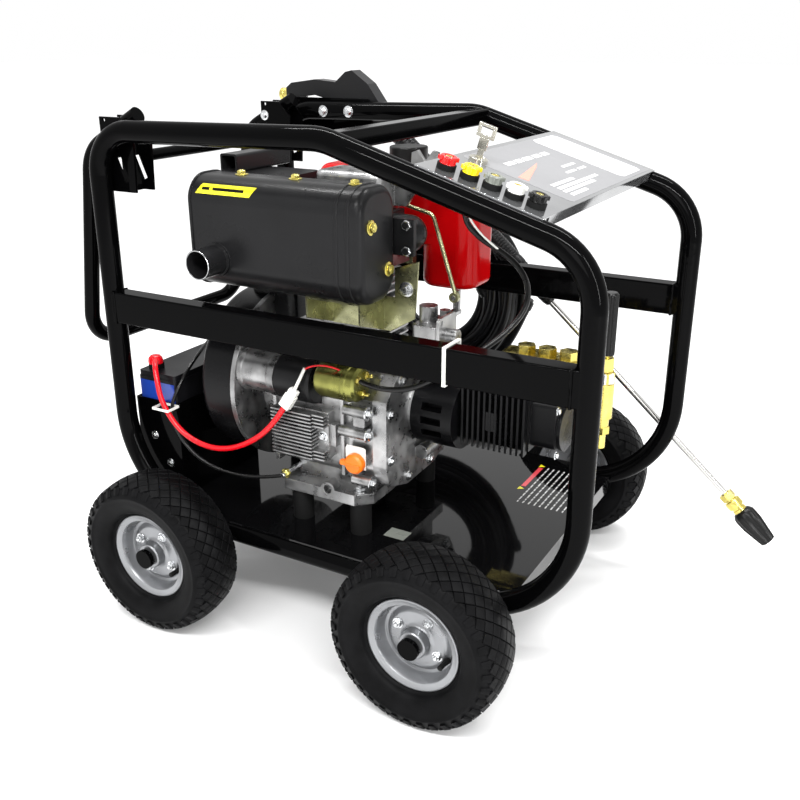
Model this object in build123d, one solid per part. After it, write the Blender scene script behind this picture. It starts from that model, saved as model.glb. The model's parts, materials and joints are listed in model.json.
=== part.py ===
from build123d import *
import os
from math import atan, cos, degrees, pi, radians, sin, tan

# Diesel engine coupled to a three-piston pump on a four-wheeled tubular cart.
# +X runs from the pull handle to the spray nozzle, +Y to the side that carries the lance, +Z up.
# Lengths are in millimetres. The cart is drawn about the middle of its side loops and moved at
# the end, so that the origin lies on the floor under the middle of the machine.

# ---- driving dimensions -------------------------------------------------------------------
TUBE_R = 16.5               # side loop tube
LOOP_Y = 235.5              # loop centre planes
LOOP_X = 396.0              # upright centres
LOOP_TOP = 776.0
LOOP_REAR = (-389.0, 769.0)  # rear upper corner, a little lower than the knee
LOOP_BOTTOM = 147.5
SLOPE_X = 16.6              # where the top tube starts to fall
SLOPE = 0.306               # fall of the sloped tube per unit of X
RAIL_Z = (475.0, 525.0)
RAIL_DEPTH = 29.0

WHEEL_R = 130.0
TYRE_W = 90.0
WHEEL_Y = 317.0
WHEEL_X = {"rear": -266.0, "front": 211.0}
AXLE_R = 10.0
RUN_CLEAR = 0.05            # radial clearance of running fits

TRAY_X = (-345.0, 304.0)
TRAY_TOP = 167.0
TRAY_T = 3.0
TRAY_HALF = 242.0
TRAY_NECK = 212.0

HANDLE_R = 12.5
HANDLE_Y = 198.5
HANDLE_PIVOT = (-390.0, 763.0)
HANDLE_TIP = (-338.0, 791.0)
HANDLE_KNEE = (-446.0, 733.0)
HANDLE_FOOT = (-497.0, 412.0)

ENGINE_Y = -60.0            # crankshaft line, shared by engine, coupling and pump
ENGINE_Z = 355.0
FAN_R = 140.0
FAN_Z = 370.0

MUFFLER_X = (-268.0, 45.0)
MUFFLER_Y = (-190.0, -92.0)
MUFFLER_Z = (537.0, 706.0)
MUFFLER_CORNER = 38.0
OUTLET = (-212.0, 584.0)    # X, Z of the exhaust outlet
OUTLET_R = 22.5

PANEL_X = (150.0, 322.0)
PANEL_HALF = 238.0
PANEL_T = 2.0
NOZZLE_X = (177.0, 209.0, 240.0, 270.0, 299.0)
NOZZLE_Y = -206.0
NOZZLE_NAMES = ("red", "yellow", "grey", "white", "black")
KEY_AT = (179.0, -116.0)
KEY_PLUG_R = 6.0

BELL_R = 54.0
PUMP_X = (150.0, 262.0)
PUMP_Y = (-80.0, 10.0)
PUMP_Z = (324.0, 410.0)
HEAD_X = (153.0, 300.0)
HEAD_Y = (12.0, 92.0)
HEAD_TOP = 426.0
CAP_X = (200.0, 235.0, 270.0)
INLET_X = 240.0
INLET_Z = 353.0

LANCE_Y = 272.0
LANCE_TOP = (-185.0, 755.0)     # where the lance leaves the gun
LANCE_END = (492.0, 157.0)
SLEEVE_LENGTH = 455.0
COUPLER_LENGTH = 40.0
TURBO_LENGTH = 69.0
SLEEVE_R = 17.0
GUN_HALF = 15.0
REST_X = 92.0                   # arm under the sleeve, on the far rail
LANCE_R = 5.5

TRIGGER_PIN = (-268.0, 774.0)

COIL_AT = (-92.0, 437.0)
COIL_OUTER = 184.0
COIL_INNER = 88.0
COIL_Y = (290.0, 340.0)

ORIGIN_X = 36.73            # middle of the machine's length, from handle bar to nozzle tip

TILT = degrees(atan(SLOPE))


# ---- helpers ------------------------------------------------------------------------------
def box(x0, x1, y0, y1, z0, z1):
    centre = ((x0 + x1) / 2, (y0 + y1) / 2, (z0 + z1) / 2)
    return Pos(*centre) * Box(abs(x1 - x0), abs(y1 - y0), abs(z1 - z0))


def rounded(solid, axis, radius):
    return fillet(solid.edges().filter_by(axis), radius)


def rod(start, end, radius):
    start, end = Vector(*start), Vector(*end)
    run = end - start
    plane = Plane(origin=start, z_dir=run)
    return extrude(plane * Circle(radius), run.length)


def pipe(start, end, outer, inner):
    return rod(start, end, outer) - rod(start, end, inner)


def swept(points, radii, radius):
    path = FilletPolyline(*points, radius=radii)
    return sweep(Plane(origin=path @ 0, z_dir=path % 0) * Circle(radius), path=path)


def hexagon(start, end, radius):
    start, end = Vector(*start), Vector(*end)
    run = end - start
    return extrude(Plane(origin=start, z_dir=run) * RegularPolygon(radius, 6), run.length)


def plate_xz(points, y0, y1):
    outline = Polyline(*[(x, y0, z) for x, z in points], close=True)
    return extrude(make_face(outline), y1 - y0, dir=(0, 1, 0))


def plate_yz(points, x0, x1):
    outline = Polyline(*[(x0, y, z) for y, z in points], close=True)
    return extrude(make_face(outline), x1 - x0, dir=(1, 0, 0))


def turned(profile, start, direction):
    """Solid of revolution: profile is a list of (radius, distance along the axis)."""
    plane = Plane(origin=start, x_dir=Vector(*direction).cross(Vector(0.31, 0.77, 0.55)),
                  z_dir=direction)
    frame = Plane(origin=start, x_dir=plane.x_dir, z_dir=plane.y_dir * -1)
    face = make_face(Polyline(*profile, close=True))
    return revolve(frame * face, Axis(start, direction))


def slope_z(x):
    """Height of the sloped tube's centreline."""
    return LOOP_TOP - SLOPE * (x - SLOPE_X)


def panel_point(x, y, height=0.0):
    """Point above the control panel's underside, measured square to the panel."""
    lift = TUBE_R + height
    angle = radians(TILT)
    return (x + lift * sin(angle), y, slope_z(x) + lift * cos(angle))


def panel_plane(x, y, height=0.0):
    angle = radians(TILT)
    return Plane(origin=panel_point(x, y, height), x_dir=(cos(angle), 0, -sin(angle)),
                 z_dir=(sin(angle), 0, cos(angle)))


def both_sides(maker):
    return [maker(-1), maker(1)]


def clean(*solids):
    """One fused body from the given pieces."""
    body = solids[0]
    for solid in solids[1:]:
        body = body + solid
    return body


# ---- frame --------------------------------------------------------------------------------
def side_loop(side):
    y = side * LOOP_Y
    seam_x = 226.0
    seam = (seam_x, y, slope_z(seam_x))
    corner_z = slope_z(LOOP_X)
    front = swept([(0, y, LOOP_BOTTOM), (LOOP_X, y, LOOP_BOTTOM), (LOOP_X, y, corner_z), seam],
                  [170, 88], TUBE_R)
    rear = swept([seam, (SLOPE_X, y, LOOP_TOP), (LOOP_REAR[0], y, LOOP_REAR[1]),
                  (-LOOP_X, y, LOOP_BOTTOM), (0, y, LOOP_BOTTOM)],
                 [110, 66, 170], TUBE_R)
    return front + rear


def side_frame(side):
    loop = side_loop(side)
    half = RAIL_DEPTH / 2
    y = side * LOOP_Y
    rail = rounded(box(-LOOP_X, LOOP_X, y - half, y + half, *RAIL_Z), Axis.X, 2.5)
    return clean(loop, rail)


def bracket(side):
    """Channel of two slotted plates that carries one arm of the pull handle."""
    outline = [(-398, 700), (-398, 788), (-358, 788), (-333, 762), (-337, 678), (-385, 678)]
    x, z = HANDLE_PIVOT
    body = None
    for near, far in ((178, 182), (215, 219)):
        y0, y1 = sorted((side * near, side * far))
        plate = plate_xz(outline, y0, y1)
        slot = plate_xz([(-371, 728), (-361, 730), (-347, 696), (-356, 692)], y0 - 1, y1 + 1)
        hole = rod((x, y0 - 1, z), (x, y1 + 1, z), 5 + RUN_CLEAR)
        latch = rod((-389, y0 - 1, 783), (-389, y1 + 1, 783), 3)
        plate = plate - slot - hole - latch
        body = plate if body is None else body + plate
    y0, y1 = sorted((side * 182, side * 215))
    return clean(body, box(-385, -356, y0, y1, 678, 681))


def cross_members():
    """Box beam across the knee of the loops, the rear tube and the two handle brackets."""
    beam = rounded(box(15, 43, -LOOP_Y, LOOP_Y, 760, 785), Axis.Y, 3)
    beam = beam - side_loop(-1) - side_loop(1)
    rear = rod((-350, -178, 729), (-350, 178, 729), 9)
    return [beam, clean(rear, *both_sides(bracket))]


def tray():
    """Folded sheet: middle, two side wings between the wheels and a lip at each end."""
    low, top = TRAY_TOP - TRAY_T, TRAY_TOP
    middle = box(*TRAY_X, -TRAY_NECK, TRAY_NECK, low, top)
    wings = [box(-222, 222, side * TRAY_NECK, side * TRAY_HALF, low, top) for side in (-1, 1)]
    lips = [box(x, x + TRAY_T, -TRAY_NECK, TRAY_NECK, TRAY_TOP - 25, low)
            for x in (TRAY_X[0], TRAY_X[1] - TRAY_T)]
    return [middle, *wings, *lips]


def battery_box():
    """Open box welded from sheet, on two folded legs."""
    floor = box(-394, -304, -210, -10, 205, 207.5)
    sides = [box(-394, -304, y, y + 2.5, 207.5, 335) for y in (-210, -12.5)]
    ends = [box(x, x + 2.5, -207.5, -12.5, 207.5, 335) for x in (-394, -306.5)]
    legs = [box(x, x + 3, -210, -10, TRAY_TOP, 205) for x in (-344, -307)]
    return [floor, *sides, *ends, *legs]


def battery():
    case = rounded(box(-389, -309, -205, -15, 208, 372), Axis.Z, 4)
    lid = rounded(box(-388, -310, -204, -16, 372, 381), Axis.Z, 4)
    posts = [box(x - 9, x + 9, y - 9, y + 9, 381, 392) for x, y in ((-365, -186), (-365, -34))]
    return clean(case, lid, *posts)


# ---- running gear -------------------------------------------------------------------------
def axle(x):
    z = WHEEL_R
    bar = box(x - 15, x + 15, -255, 255, 111, LOOP_BOTTOM - TUBE_R)
    body = bar
    for side in (-1, 1):
        cheek = box(x - 20, x + 20, side * 254, side * 262, 111, 150)
        stub = rod((x, side * 262, z), (x, side * 352, z), AXLE_R)
        cap = rod((x, side * 350.0, z), (x, side * 357, z), 15.5)
        body = clean(body, cheek, stub, cap)
    return body


def tyre(x, side):
    half = TYRE_W / 2
    y = side * WHEEL_Y
    section = (Polyline((60, -24), (60, 24), (71, 24))
               + ThreePointArc((71, 24), (84, 40), (103, half))
               + ThreePointArc((103, half), (120, 42), (126, 33))
               + ThreePointArc((126, 33), (WHEEL_R, 0), (126, -33))
               + ThreePointArc((126, -33), (120, -42), (103, -half))
               + ThreePointArc((103, -half), (84, -40), (71, -24))
               + Line((71, -24), (60, -24)))
    face = make_face(section)
    return Pos(x, y, WHEEL_R) * revolve(face, Axis.Y)


def rim(x, side):
    """Pressed rim: flanges, barrel, a dished disc towards the outside and a long hub."""
    out = side

    def ring(outer, inner, y0, y1):
        low, high = sorted((out * y0, out * y1))
        body = extrude(Plane.XZ.offset(-low) * (Circle(outer) - Circle(inner)), high - low,
                       dir=(0, 1, 0))
        return body

    body = clean(ring(60, 56.5, -27, 27), ring(70, 58, 24, 27), ring(70, 58, -27, -24),
                 ring(58, 18, 6, 10), ring(20, AXLE_R + RUN_CLEAR, -28, 31))
    holes = [Pos(38 * cos(radians(a)), 0, 38 * sin(radians(a)))
             * (Rot(90, 0, 0) * Cylinder(6.5, 60)) for a in range(45, 405, 90)]
    bolts = []
    for a in range(0, 360, 90):
        at = (38 * cos(radians(a)), 38 * sin(radians(a)))
        bolts.append(hexagon((at[0], out * 9.9, at[1]), (at[0], out * 16, at[1]), 6.5))
    body = clean(body - clean(*holes), *bolts)
    return Pos(x, side * WHEEL_Y, WHEEL_R) * body


# ---- pull handle --------------------------------------------------------------------------
def pull_handle():
    (tx, tz), (kx, kz), (fx, fz) = HANDLE_TIP, HANDLE_KNEE, HANDLE_FOOT
    y = HANDLE_Y
    points = [(tx, -y, tz), (kx, -y, kz), (fx, -y, fz), (fx, y, fz), (kx, y, kz), (tx, y, tz)]
    bar = swept(points, [60, 55, 55, 60], HANDLE_R)
    x, z = HANDLE_PIVOT
    holes = [rod((x, s * 180, z), (x, s * 220, z), 5 + RUN_CLEAR) for s in (-1, 1)]
    return bar - clean(*holes)


def handle_pins():
    x, z = HANDLE_PIVOT
    pins = []
    for s in (-1, 1):
        shank = rod((x, s * 174, z), (x, s * 219, z), 5)
        pins.append(shank + hexagon((x, s * 172, z), (x, s * 178, z), 9))
    return pins


# ---- engine -------------------------------------------------------------------------------
STARTER_AT = (-166.0, 408.0)
MOUNT_POINTS = [(x, y) for x in (-90.0, 20.0) for y in (-164.0, 52.0)]
FOOT_Z = (220.0, 238.0)
CASE_NEAR = -166.0          # near wall of the crankcase


def engine_mounts():
    return [rod((x, y, TRAY_TOP), (x, y, FOOT_Z[0]), 17) for x, y in MOUNT_POINTS]


def plate_xy(points, z0, z1):
    outline = Polyline(*[(x, y, z0) for x, y in points], close=True)
    return extrude(make_face(outline), z1 - z0, dir=(0, 0, 1))


def engine_feet():
    """Flat foot with a chamfered front corner, open underneath."""
    outline = [(-111, -185), (21, -185), (44, -162), (44, 74), (-111, 74)]
    plate = plate_xy(outline, *FOOT_Z)
    hollow = box(-62, -8, -140, 30, FOOT_Z[0] - 1, FOOT_Z[1] - 6)
    notch = rod((-28, -186, 238), (-28, -170, 238), 7)
    ear = rod((-28, -185, 236), (-28, -166, 236), 13) & box(-60, 0, -190, -160, FOOT_Z[0], 260)
    return clean(plate - hollow, ear) - rod((-28, -190, 236), (-28, -172, 236), 6.5) - notch


def cover_bosses():
    """Round bosses on the near wall for the long cover bolts, each on a web."""
    bosses = []
    for x, y, z in ((8, -185, 380), (0, -185, 345), (15, -175, 262)):
        bosses.append(rod((x, y, z), (48, y, z), 8.5))
        bosses.append(box(x, 44, y, -158, z - 4, z + 4))
    return bosses


def crankcase():
    """Light alloy block with its mounting feet."""
    skirt = box(-104, 40, -150, 42, 236, 270)
    block = rounded(box(-140, 50, CASE_NEAR, 30, 258, 430), Axis.X, 24)
    boss = rod((-132, ENGINE_Y, ENGINE_Z), (-196, ENGINE_Y, ENGINE_Z), 70)
    ribs = [box(x, x + 6, -173, -158, 262, 400) for x in (-134, -8)]
    port = rod((22, -175, 292), (22, -150, 292), 15)
    square = rounded(box(22, 42, -184, -160, 354, 370), Axis.Y, 3)
    body = clean(engine_feet(), skirt, block, boss, *ribs, port, square, *cover_bosses())
    bore = rod((22, -176, 292), (22, -151, 292), 9 + RUN_CLEAR)
    starter_y, starter_z = STARTER_AT
    seat = rod((-187, starter_y, starter_z), (-46, starter_y, starter_z), 36.5)
    pocket = rod((-46, -176, 420), (52, -176, 420), 29)
    return body - bore - seat - pocket


def timing_cover():
    outline = [(-166, 258), (-110, 240), (-20, 243), (44, 266), (62, 300), (58, 392), (20, 428),
               (-60, 436), (-138, 430), (-175, 396), (-175, 292)]
    plate = fillet(plate_yz(outline, 50, 74).edges().filter_by(Axis.X), 10)
    boss = rod((74, ENGINE_Y, ENGINE_Z), (80, ENGINE_Y, ENGINE_Z), 50)
    barrel = rod((84, -84, 286), (84, 14, 286), 11.5) + rod((84, 14, 286), (84, 30, 286), 8)
    return clean(plate, boss, barrel)


def cylinder_block():
    """Finned barrel and finned head."""
    x, y = -45.0, ENGINE_Y + 20
    barrel = rod((x, y, 430), (x, y, 568), 40)
    fins = [rounded(box(x - 62, x + 62, y - 47, y + 47, z, z + 3), Axis.Z, 16)
            for z in range(444, 560, 11)]
    head = rounded(box(x - 62, x + 58, y - 36, y + 52, 568, 626), Axis.Z, 8)
    slots = [box(x - 70, x + 70, y - 60, y - 26, z, z + 5) for z in range(578, 620, 11)]
    return clean(barrel, *fins, head - clean(*slots))


def rocker_cover():
    body = rounded(box(-104, 10, -84, -8, 626, 712), Axis.Z, 14)
    body = fillet(body.faces().sort_by(Axis.Z)[-1].edges(), 8)
    lug = plate_xz([(8, 660), (30, 660), (62, 702), (84, 720), (84, 742), (75, 744), (62, 728),
                    (50, 744), (40, 740), (38, 712), (8, 690)], -36, -30)
    eye = rod((52, -37, 716), (52, -29, 716), 6)
    return clean(body, lug - eye)


def fan_housing():
    x0, x1 = -262.0, -196.0
    drum = rod((x0, ENGINE_Y, FAN_Z), (x1, ENGINE_Y, FAN_Z), FAN_R)
    drum = fillet(drum.faces().sort_by(Axis.X)[0].edges(), 14)
    duct = rounded(box(-236, -150, -86, 6, 470, 532), Axis.Z, 12)
    well = rod((x0 - 1, ENGINE_Y, FAN_Z), (x0 + 16, ENGINE_Y, FAN_Z), 78)
    starter = rod((x0 - 14, ENGINE_Y, FAN_Z), (x0 + 16, ENGINE_Y, FAN_Z), 70)
    starter = fillet(starter.faces().sort_by(Axis.X)[0].edges(), 10)
    slots = None
    for a in range(0, 360, 30):
        ca, sa = cos(radians(a)), sin(radians(a))
        at = Pos(x0 - 14, ENGINE_Y + 46 * ca, FAN_Z + 46 * sa) * Rot(a, 0, 0)
        cut = at * Box(20, 26, 7)
        slots = cut if slots is None else slots + cut
    ring = pipe((x1, ENGINE_Y, FAN_Z), (x1 + 9, ENGINE_Y, FAN_Z), FAN_R + 3, 90)
    return [clean(drum - well, starter - slots, duct), ring - duct]


def starter_motor():
    y, z = STARTER_AT
    nose = rod((-187, y, z), (-112, y, z), 34)
    nose = fillet(nose.faces().sort_by(Axis.X)[0].edges(), 6)
    body = rod((-112, y, z), (-46, y, z), 36)
    solenoid = rod((-44, -176, 420), (26, -176, 420), 28)
    solenoid = fillet(solenoid.faces().sort_by(Axis.X)[0].edges(), 10)
    studs = [rod((26, -176 + dy, 420 + dz), (44, -176 + dy, 420 + dz), 4)
             for dy, dz in ((-12, 10), (10, 12), (0, -14))]
    return [clean(nose, body), clean(solenoid, *studs)]


def voltage_regulator():
    core = box(-118, -24, -182, -166, 290, 366)
    fins = [box(-119, -44, -201, -182, z, z + 2.6) for z in range(290, 366, 6)]
    end = [box(-44, -24, -196, -182, z, z + 2.6) for z in (290, 296, 302, 344, 350, 356, 362)]
    lug = box(-24, -14, -178, -166, 310, 346)
    return clean(core, *fins, *end, lug)


def injection_pump():
    """Pump block on the cylinder side, with the post that carries the speed lever."""
    body = rounded(box(84, 128, -118, -52, 438, 505), Axis.Z, 8)
    tower = rod((96, -85, 505), (96, -85, 528), 14)
    nut = hexagon((116, -70, 505), (116, -70, 520), 9)
    flange = rounded(box(128, 133, -122, -66, 462, 520), Axis.X, 8)
    for y, z in ((-114, 512), (-74, 470)):
        flange = flange - rod((127, y, z), (134, y, z), 4)
    union = rod((133, -94, 490), (150, -94, 490), 10)
    stem = box(36, 50, -110, -62, 430, 440) + box(50, 86, -110, -62, 437, 440)
    foot = box(100, 114, -54, -10, 499, 505)
    post = box(102, 112, -16, -10, 499, 536)
    pin = rod((107, -27, 526), (107, -12, 526), 4)
    return clean(body, tower, nut, flange, union, stem, foot, post, pin)


def muffler():
    x0, x1 = MUFFLER_X
    shell = rounded(box(x0, x1, *MUFFLER_Y, *MUFFLER_Z), Axis.X, MUFFLER_CORNER)
    shell = fillet(shell.faces().sort_by(Axis.X)[-1].edges(), 12)
    shell = fillet(shell.faces().sort_by(Axis.X)[0].edges(), 12)
    x, z = OUTLET
    y0 = MUFFLER_Y[0]
    stub = rod((x, y0 - 46, z), (x, y0 + 20, z), OUTLET_R)
    collar = rod((x, y0 - 5, z), (x, y0 + 20, z), OUTLET_R + 3)
    bore = rod((x, y0 - 47, z), (x, y0 + 14, z), OUTLET_R - 2.5)
    return clean(shell, stub, collar) - bore


def muffler_bracket():
    """Bent plated sheet from the cylinder barrel up the back and under the muffler."""
    back = plate_xz([(-70, 480), (34, 480), (76, 505), (82, 592), (42, 579), (42, 534), (-70, 534)],
                    -91, -88)
    shelf = box(-73, 23, -160, -88, 534, 537)
    outline = [(-160, 537), (-160, 504), (-88, 480), (-88, 537)]
    cheeks = [plate_yz(outline, x, x + 3) for x in (-73, 20)]
    hole = rod((62, -95, 549), (62, -80, 549), 6)
    return clean(back - hole, shelf, *cheeks)


def exhaust_elbow():
    """Cast elbow from the head, closed by a round back, with a flange towards the muffler."""
    y, z = -58.0, 625.0
    body = clean(rod((20, y, z), (47, y, z), 28), Pos(47, y, z) * Sphere(28))
    flange = box(13, 22, -88, -26, 594, 656)
    face = box(34, 72, -88, -80, 598, 652)
    studs = [rod((62, -88, z1), (62, -96, z1), 5) for z1 in (606, 644)]
    return clean(body, flange, face, *studs)


def air_cleaner():
    body = rounded(box(-290, -152, -78, 16, 606, 680), Axis.Z, 14)
    rim_band = rounded(box(-295, -147, -83, 21, 680, 686), Axis.Z, 16)
    lid = rounded(box(-287, -155, -75, 13, 686, 697), Axis.Z, 14)
    duct = rounded(box(-284, -251, -82, 60, 697, 726), Axis.Y, 4)
    duct = duct - rounded(box(-281, -254, -83, 54, 700, 723), Axis.Y, 3)
    return clean(body, rim_band, lid, duct)


def fuel_tank():
    upper = rounded(box(-182, 112, 28, 122, 592, 704), Axis.Z, 30)
    upper = fillet(upper.faces().sort_by(Axis.Z)[-1].edges(), 18)
    sump = rounded(box(14, 112, 28, 122, 522, 640), Axis.Z, 30)
    sump = fillet(sump.faces().sort_by(Axis.Z)[0].edges(), 12)
    neck = rod((-26, 74, 690), (-26, 74, 709), 26)
    return clean(upper, sump, neck)


def tank_straps():
    """Two angle brackets that carry the tank on the head and the crankcase."""
    posts = []
    for x in (-150, -10):
        posts.append(box(x, x + 24, 14, 27, 560, 592) + box(x, x + 24, 14, 120, 586, 592))
    return posts


# ---- coupling and pump --------------------------------------------------------------------
def coupling_housing():
    """Slotted bell housing that carries the pump on the engine."""
    bell = rod((80, ENGINE_Y, ENGINE_Z), (150, ENGINE_Y, ENGINE_Z), BELL_R)
    windows = [box(98, 132, ENGINE_Y - 70, ENGINE_Y + 70, ENGINE_Z + dz, ENGINE_Z + dz + 11)
               for dz in (-26, -5, 16)]
    core = rod((80, ENGINE_Y, ENGINE_Z), (150, ENGINE_Y, ENGINE_Z), 36)
    flange = box(144, 150, -84, -4, 318, 404)
    return clean(bell - clean(*windows), core, flange)


def pump_crankcase():
    x0, x1 = PUMP_X
    y0, y1 = PUMP_Y
    z0, z1 = PUMP_Z
    body = box(x0, x1, y0, y1, z0, z1)
    fins = [box(x, x + 3.4, y0 - 14, y0, z0 - 4, z1 + 2) for x in range(157, 262, 9)]
    boss = box(197, 215, y0 - 13, y0, 350, 380)
    rear = rounded(box(x1, 300, y0 + 4, y1 - 4, z0 + 6, z1 - 4), Axis.X, 12)
    cover = rod((300, -36, 356), (306, -36, 356), 36)
    return clean(body, *fins, boss, rear, cover)


def pump_head():
    x0, x1 = HEAD_X
    y0, y1 = HEAD_Y
    block = rounded(box(x0, x1, y0, y1, 336, HEAD_TOP), Axis.Y, 6)
    lower = rounded(box(x0 - 4, x1 + 4, y0 + 14, y1 - 20, 322, 350), Axis.X, 8)
    body = clean(block, lower)
    for x in CAP_X:
        body = body + rod((x, 52, HEAD_TOP), (x, 52, HEAD_TOP + 4), 17)
        body = body + hexagon((x, 52, HEAD_TOP + 4), (x, 52, HEAD_TOP + 19), 15)
        body = body + hexagon((x, y1, 385), (x, y1 + 12, 385), 15)
    bore = rod((INLET_X, y1 - 20, INLET_Z), (INLET_X, y1 + 21, INLET_Z), 9)
    inlet = rod((INLET_X, y1, INLET_Z), (INLET_X, y1 + 20, INLET_Z), 13)
    return body + inlet - bore


def unloader_valve():
    """Pressure regulator on the +X end of the head, with the high-pressure outlet below it."""
    x, y = 336.0, 30.0
    saddle = box(304, 322, 20, 40, 378, 402)
    body = rod((x, y, 356), (x, y, 412), 15)
    nut = hexagon((x, y, 412), (x, y, 430), 15)
    neck = hexagon((x, y, 430), (x, y, 452), 12)
    stem = rod((x, y, 452), (x, y, 470), 5)
    outlet = rod((x, y, 340), (x, y, 356), 11) + hexagon((x, y, 330), (x, y, 342), 13)
    nipple = pipe((x, y, 306), (x, y, 330), 8, 4)
    return clean(saddle, body, nut, neck, stem, outlet, nipple)


def unloader_knob():
    x, y = 336.0, 30.0
    grip = rod((x, y, 456), (x, y, 552), 11.5)
    grip = fillet(grip.faces().sort_by(Axis.Z)[-1].edges(), 4)
    return grip - rod((x, y, 455), (x, y, 472), 5 + RUN_CLEAR)


# ---- panel --------------------------------------------------------------------------------
def control_panel():
    x0, x1 = PANEL_X
    length = (x1 - x0) / cos(radians(TILT))
    middle = panel_plane((x0 + x1) / 2, 0)
    sheet = extrude(middle * Rectangle(length, 2 * PANEL_HALF), PANEL_T)
    edge = panel_plane(x1, 0)
    lip = extrude(edge * Pos(-1.5, 0) * Rectangle(3, 2 * (LOOP_Y - TUBE_R - 2)), -13)
    body = clean(sheet, lip)
    for x in NOZZLE_X:
        body = body - extrude(panel_plane(x, NOZZLE_Y, -5) * Circle(9 + RUN_CLEAR), 12)
    key_hole = extrude(panel_plane(*KEY_AT, -5) * Circle(9 + RUN_CLEAR), 12)
    return body - key_hole


def grommets():
    rings = []
    for x in NOZZLE_X:
        base = panel_plane(x, NOZZLE_Y, PANEL_T)
        ring = extrude(base * Circle(12.5), 7)
        ring = ring + extrude(base * Circle(9), -14)
        bore = extrude(panel_plane(x, NOZZLE_Y, -20) * Circle(6.3), 60)
        rings.append(ring - bore)
    return rings


def spare_nozzle(x):
    seat = panel_plane(x, NOZZLE_Y, PANEL_T + 7.3)
    cap = extrude(seat * Circle(11), 10)
    cap = fillet(cap.faces().sort_by(Axis.Z)[-1].edges(), 1.5)
    stem = extrude(seat * Circle(5.9), -20)
    hole = extrude(panel_plane(x, NOZZLE_Y, PANEL_T + 12) * Circle(2.5), 10)
    return clean(cap, stem) - hole


def key_switch():
    base = panel_plane(*KEY_AT, PANEL_T)
    body = extrude(base * Circle(13), 5) + extrude(base * Circle(9), -42)
    bore = extrude(panel_plane(*KEY_AT, PANEL_T - 12.3) * Circle(KEY_PLUG_R + RUN_CLEAR), 20)
    return body - bore


def ignition_key():
    """Turning plug of the switch with the key standing in it."""
    plug = extrude(panel_plane(*KEY_AT, PANEL_T - 12) * Circle(KEY_PLUG_R), 17)
    blade = extrude(panel_plane(*KEY_AT, PANEL_T + 4) * Rectangle(8.6, 2.3), 12)
    shoulder = extrude(panel_plane(*KEY_AT, PANEL_T + 14) * Rectangle(13, 4), 16)
    bow = extrude(panel_plane(*KEY_AT, PANEL_T + 29) * Rectangle(26, 4), 18)
    eye = extrude(panel_plane(*KEY_AT, PANEL_T + 37) * Rectangle(14, 6), 5)
    return clean(plug, blade, shoulder, bow) - eye


# ---- small moving pieces ------------------------------------------------------------------
def fuel_cap():
    cap = rod((-26, 74, 709.3), (-26, 74, 736), 31)
    return fillet(cap.faces().sort_by(Axis.Z)[-1].edges(), 3)


def oil_plug():
    """Screw-in dipstick with a winged head."""
    shank = rod((22, -175.5, 292), (22, -152, 292), 9)
    head = rod((22, -190, 292), (22, -175.5, 292), 16)
    wing = box(0, 22, -188, -182, 287, 297)
    return clean(shank, head, wing)


LEVER = [(24.0, 659.0), (68.0, 649.0), (107.0, 532.0)]


def speed_lever():
    """Bent rod that swings on a pin at its lower end."""
    y = -20.0
    (ax, az), (cx, cz), (dx, dz) = LEVER
    rod_body = swept([(ax, y, az), (cx, y, cz), (dx, y, dz)], [14], 3)
    eye = pipe((dx, y - 5, dz - 6), (dx, y + 3, dz - 6), 8, 4 + RUN_CLEAR)
    return clean(rod_body, eye) - rod((dx, y - 9, dz - 6), (dx, y + 9, dz - 6), 4 + RUN_CLEAR)


# ---- gun and lance ------------------------------------------------------------------------
def gun_body():
    """Trigger gun lying on its back: grip towards -X, hump upwards."""
    upper, lower = across_lance(LANCE_TOP, 15), across_lance(LANCE_TOP, -15)
    outline = [(-396, 776), (-396, 808), (-384, 817), (-330, 824), (-284, 820), (-262, 838),
               (-248, 841), (-214, 818), upper, lower, (-226, 749), (-252, 762), (-290, 786),
               (-330, 796), (-366, 792), (-380, 776)]
    grip = plate_xz(outline, LANCE_Y - GUN_HALF, LANCE_Y + GUN_HALF)
    inlet = pipe((-416, LANCE_Y, 795), (-396, LANCE_Y, 795), 11, 7)
    pocket = box(-368, -256, LANCE_Y - 7, LANCE_Y + 7, 740, 796)
    x, z = TRIGGER_PIN
    pin = rod((x, LANCE_Y - 9, z), (x, LANCE_Y + 9, z), 3)
    return [clean(grip - pocket, pin), inlet]


def gun_trigger():
    outline = [(-261, 779), (-274, 782), (-330, 774), (-364, 758), (-360, 751), (-326, 762),
               (-276, 767), (-261, 768)]
    x, z = TRIGGER_PIN
    blade = plate_xz(outline, LANCE_Y - 6, LANCE_Y + 6)
    return blade - rod((x, LANCE_Y - 7, z), (x, LANCE_Y + 7, z), 3 + RUN_CLEAR)


def lance_direction():
    return Vector(LANCE_END[0] - LANCE_TOP[0], 0, LANCE_END[1] - LANCE_TOP[1]).normalized()


def along_lance(distance):
    """Point on the lance, measured from where it leaves the gun."""
    return Vector(LANCE_TOP[0], LANCE_Y, LANCE_TOP[1]) + lance_direction() * distance


def across_lance(point, distance):
    """Point square to the lance, in the lance's own plane."""
    run = lance_direction()
    return (point[0] - run.Z * distance, point[1] + run.X * distance)


def lance_length():
    return Vector(LANCE_END[0] - LANCE_TOP[0], 0, LANCE_END[1] - LANCE_TOP[1]).length


def lance_sleeve():
    return pipe(along_lance(0), along_lance(SLEEVE_LENGTH), SLEEVE_R, LANCE_R)


def lance_tube():
    return rod(along_lance(0), along_lance(lance_length()), LANCE_R)


def nozzle_coupler():
    start = lance_length()
    body = rod(along_lance(start), along_lance(start + COUPLER_LENGTH), 12)
    return clean(body, hexagon(along_lance(start), along_lance(start + 14), 14))


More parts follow.
